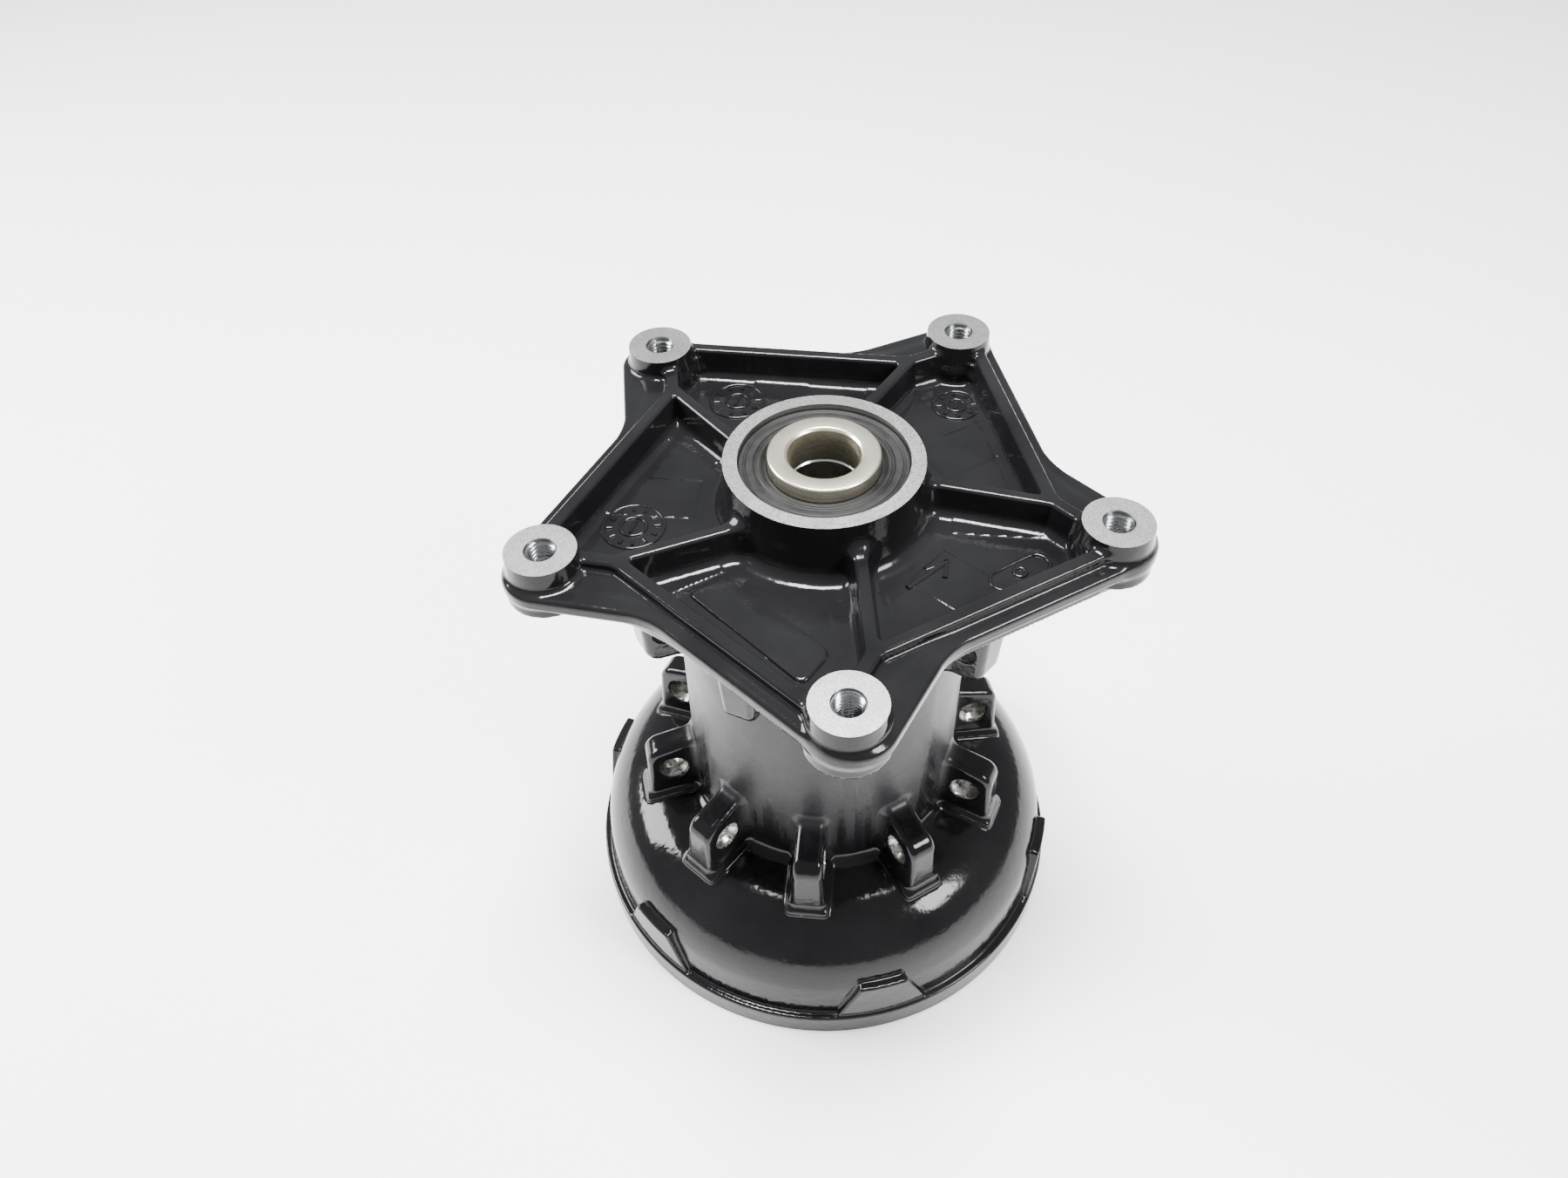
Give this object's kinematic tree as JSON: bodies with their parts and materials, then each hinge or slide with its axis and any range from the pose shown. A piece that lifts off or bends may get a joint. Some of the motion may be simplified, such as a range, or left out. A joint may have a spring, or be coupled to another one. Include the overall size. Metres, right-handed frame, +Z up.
{
  "type": "motorcycle rear wheel hub",
  "caption": "Cast rear wheel hub: star-shaped brake disc carrier, slim barrel, cush drive drum with spoke lugs, sealed bearings and axle spacers.",
  "frame": {"origin": "on the axle line, in the plane of the drum's rim face that the hub stands on", "axes": "+Z up along the axle from the drum to the brake disc carrier, -Y towards the first disc boss"},
  "size_m": [0.173, 0.1713, 0.1815],
  "materials": {
    "painted_casting": "deep gloss black coating, bare machined aluminium on the bosses and collar",
    "thread_steel": "bright stainless wire thread coil",
    "seal_rubber": "black moulded rubber with a light film of grease",
    "cush_rubber": "matt black moulded rubber",
    "circlip_steel": "phosphated spring steel",
    "cage_nylon": "glass-filled nylon",
    "bush_steel": "passivated turned steel, faintly yellow",
    "tube_steel": "oiled drawn tube",
    "bearing_steel": "ground bearing steel"
  },
  "bodies": {
    "hub": {"disc_carrier": "painted_casting", "spoke_barrel": "painted_casting", "cush_drum": "painted_casting", "thread_insert_1": "thread_steel", "thread_insert_2": "thread_steel", "thread_insert_3": "thread_steel", "thread_insert_4": "thread_steel", "thread_insert_5": "thread_steel", "disc_side_shaft_seal": "seal_rubber", "disc_bearing_outer_ring": "bearing_steel", "disc_bearing_lower_seal": "seal_rubber", "disc_bearing_upper_seal": "seal_rubber", "drive_bearing_outer_ring": "bearing_steel", "drive_bearing_lower_seal": "seal_rubber", "drive_bearing_upper_seal": "seal_rubber", "drive_bearing_circlip": "circlip_steel", "cush_rubber_1": "cush_rubber", "cush_rubber_2": "cush_rubber", "cush_rubber_3": "cush_rubber", "cush_rubber_4": "cush_rubber", "cush_rubber_5": "cush_rubber", "cush_rubber_6": "cush_rubber", "cush_rubber_7": "cush_rubber", "cush_rubber_8": "cush_rubber", "cush_rubber_9": "cush_rubber", "cush_rubber_10": "cush_rubber", "cush_rubber_11": "cush_rubber", "cush_rubber_12": "cush_rubber"},
    "axle_sleeve": {"disc_bearing_inner_ring": "bearing_steel", "drive_bearing_inner_ring": "bearing_steel", "distance_tube": "tube_steel", "spacer_bush": "bush_steel"},
    "disc_cage": {"disc_bearing_cage": "cage_nylon", "disc_bearing_ball_1": "bearing_steel", "disc_bearing_ball_2": "bearing_steel", "disc_bearing_ball_3": "bearing_steel", "disc_bearing_ball_4": "bearing_steel", "disc_bearing_ball_5": "bearing_steel", "disc_bearing_ball_6": "bearing_steel", "disc_bearing_ball_7": "bearing_steel", "disc_bearing_ball_8": "bearing_steel"},
    "drive_cage": {"drive_bearing_cage": "cage_nylon", "drive_bearing_ball_1": "bearing_steel", "drive_bearing_ball_2": "bearing_steel", "drive_bearing_ball_3": "bearing_steel", "drive_bearing_ball_4": "bearing_steel", "drive_bearing_ball_5": "bearing_steel", "drive_bearing_ball_6": "bearing_steel", "drive_bearing_ball_7": "bearing_steel", "drive_bearing_ball_8": "bearing_steel"}
  },
  "joints": [
    {"name": "axle_sleeve_spin", "type": "hinge", "parent": "hub", "child": "axle_sleeve", "pos_m": [0, 0, 0.09], "axis": [0, 0, 1], "continuous": true},
    {"name": "disc_cage_spin", "type": "hinge", "parent": "hub", "child": "disc_cage", "pos_m": [0, 0, 0.1635], "axis": [0, 0, 1], "continuous": true},
    {"name": "drive_cage_spin", "type": "hinge", "parent": "hub", "child": "drive_cage", "pos_m": [0, 0, 0.034], "axis": [0, 0, 1], "continuous": true}
  ],
  "couplings": [
    {"joint": "disc_cage_spin", "follows": "axle_sleeve_spin", "ratio": 0.3815},
    {"joint": "drive_cage_spin", "follows": "axle_sleeve_spin", "ratio": 0.3815}
  ]
}
